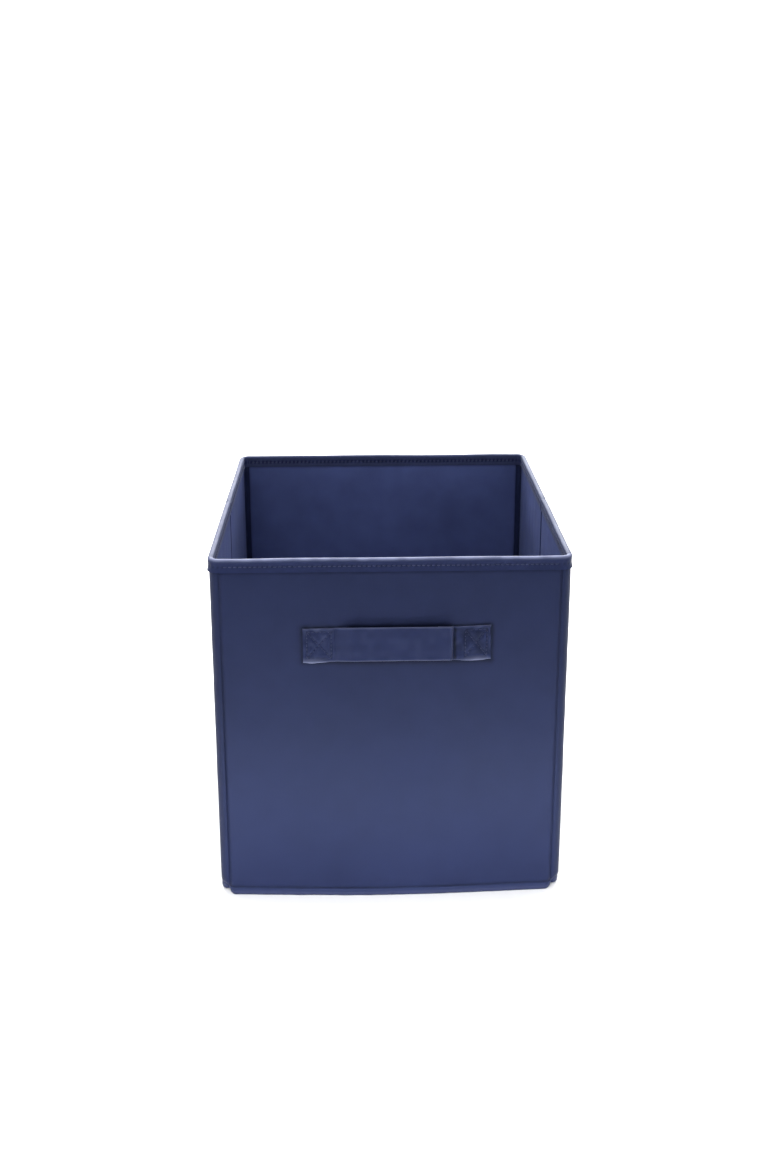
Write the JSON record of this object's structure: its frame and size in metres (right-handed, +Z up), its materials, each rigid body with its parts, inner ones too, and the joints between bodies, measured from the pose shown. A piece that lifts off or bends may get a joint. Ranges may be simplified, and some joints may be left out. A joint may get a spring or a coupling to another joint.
{
  "type": "fabric storage bin",
  "caption": "Square fold-flat storage bin of stiffened navy fabric with a bound rim, loose base insert and front strap handle.",
  "frame": {"origin": "centre of the base, on the underside of the bottom cloth", "axes": "+Z up through the open top, -Y out of the front face with the handle, +X to the right as seen from the front"},
  "size_m": [0.2676, 0.2675, 0.28],
  "materials": {
    "shell": "satin",
    "lining": "matte",
    "binding": "satin",
    "strap": "satin",
    "thread": "matte",
    "board": "matte"
  },
  "bodies": {
    "front_wall": {"front_board": "board", "front_shell": "shell", "front_lining": "lining", "front_binding": "binding", "front_rim_stitch": "thread", "front_left_corner_fabric": "shell", "front_left_corner_binding": "binding", "front_right_corner_fabric": "shell", "front_right_corner_binding": "binding", "bottom_fabric": "shell", "bottom_seam": "binding", "handle_left_end": "strap", "handle_right_end": "strap", "handle_left_run": "strap", "handle_slack_fold": "strap", "handle_left_stitch": "thread", "handle_right_stitch": "thread"},
    "left_front_panel": {"left_front_board": "board", "left_front_shell": "shell", "left_front_lining": "lining", "left_front_binding": "binding", "left_front_rim_stitch": "thread", "left_crease_fabric": "shell", "left_crease_binding": "binding"},
    "left_rear_panel": {"left_rear_board": "board", "left_rear_shell": "shell", "left_rear_lining": "lining", "left_rear_binding": "binding", "left_rear_rim_stitch": "thread"},
    "back_wall": {"back_board": "board", "back_shell": "shell", "back_lining": "lining", "back_binding": "binding", "back_rim_stitch": "thread", "back_left_corner_fabric": "shell", "back_left_corner_binding": "binding", "back_right_corner_fabric": "shell", "back_right_corner_binding": "binding"},
    "right_front_panel": {"right_front_board": "board", "right_front_shell": "shell", "right_front_lining": "lining", "right_front_binding": "binding", "right_front_rim_stitch": "thread", "right_crease_fabric": "shell", "right_crease_binding": "binding"},
    "right_rear_panel": {"right_rear_board": "board", "right_rear_shell": "shell", "right_rear_lining": "lining", "right_rear_binding": "binding", "right_rear_rim_stitch": "thread"},
    "base_insert": {"insert_board": "board", "insert_cover_top": "lining", "insert_cover_bottom": "lining"},
    "handle_grip": {"handle_grip": "strap"}
  },
  "joints": [
    {"name": "fold", "type": "hinge", "parent": "front_wall", "child": "left_front_panel", "pos_m": [-0.1289, -0.1264, 0.14], "axis": [0, 0, -1], "range_deg": [0, 88], "deforming": ["front_left_corner_fabric", "front_left_corner_binding", "bottom_fabric", "bottom_seam"]},
    {"name": "left_crease", "type": "hinge", "parent": "left_front_panel", "child": "left_rear_panel", "pos_m": [-0.134, 0, 0.14], "axis": [0, 0, 1], "range_deg": [0, 176], "deforming": ["left_crease_fabric", "left_crease_binding"]},
    {"name": "back_left_corner", "type": "hinge", "parent": "left_rear_panel", "child": "back_wall", "pos_m": [-0.1289, 0.1264, 0.14], "axis": [0, 0, -1], "range_deg": [0, 88], "deforming": ["back_left_corner_fabric", "back_left_corner_binding"]},
    {"name": "back_right_corner", "type": "hinge", "parent": "back_wall", "child": "right_rear_panel", "pos_m": [0.1289, 0.1264, 0.14], "axis": [0, 0, -1], "range_deg": [0, 88], "deforming": ["back_right_corner_fabric", "back_right_corner_binding"]},
    {"name": "front_right_corner", "type": "hinge", "parent": "front_wall", "child": "right_front_panel", "pos_m": [0.1289, -0.1264, 0.14], "axis": [0, 0, 1], "range_deg": [0, 88], "deforming": ["front_right_corner_fabric", "front_right_corner_binding", "right_crease_fabric", "right_crease_binding"]},
    {"name": "insert_lift", "type": "slide", "parent": "front_wall", "child": "base_insert", "axis": [0, 0, 1], "range_m": [0, 0.32]},
    {"name": "handle_pull", "type": "slide", "parent": "front_wall", "child": "handle_grip", "axis": [0, -1, 0], "range_m": [0, 0.015], "deforming": ["handle_left_run", "handle_slack_fold"]}
  ],
  "couplings": [
    {"joint": "left_crease", "follows": "fold", "ratio": 2},
    {"joint": "back_left_corner", "follows": "fold", "ratio": 1},
    {"joint": "back_right_corner", "follows": "fold", "ratio": 1},
    {"joint": "front_right_corner", "follows": "fold", "ratio": 1}
  ]
}
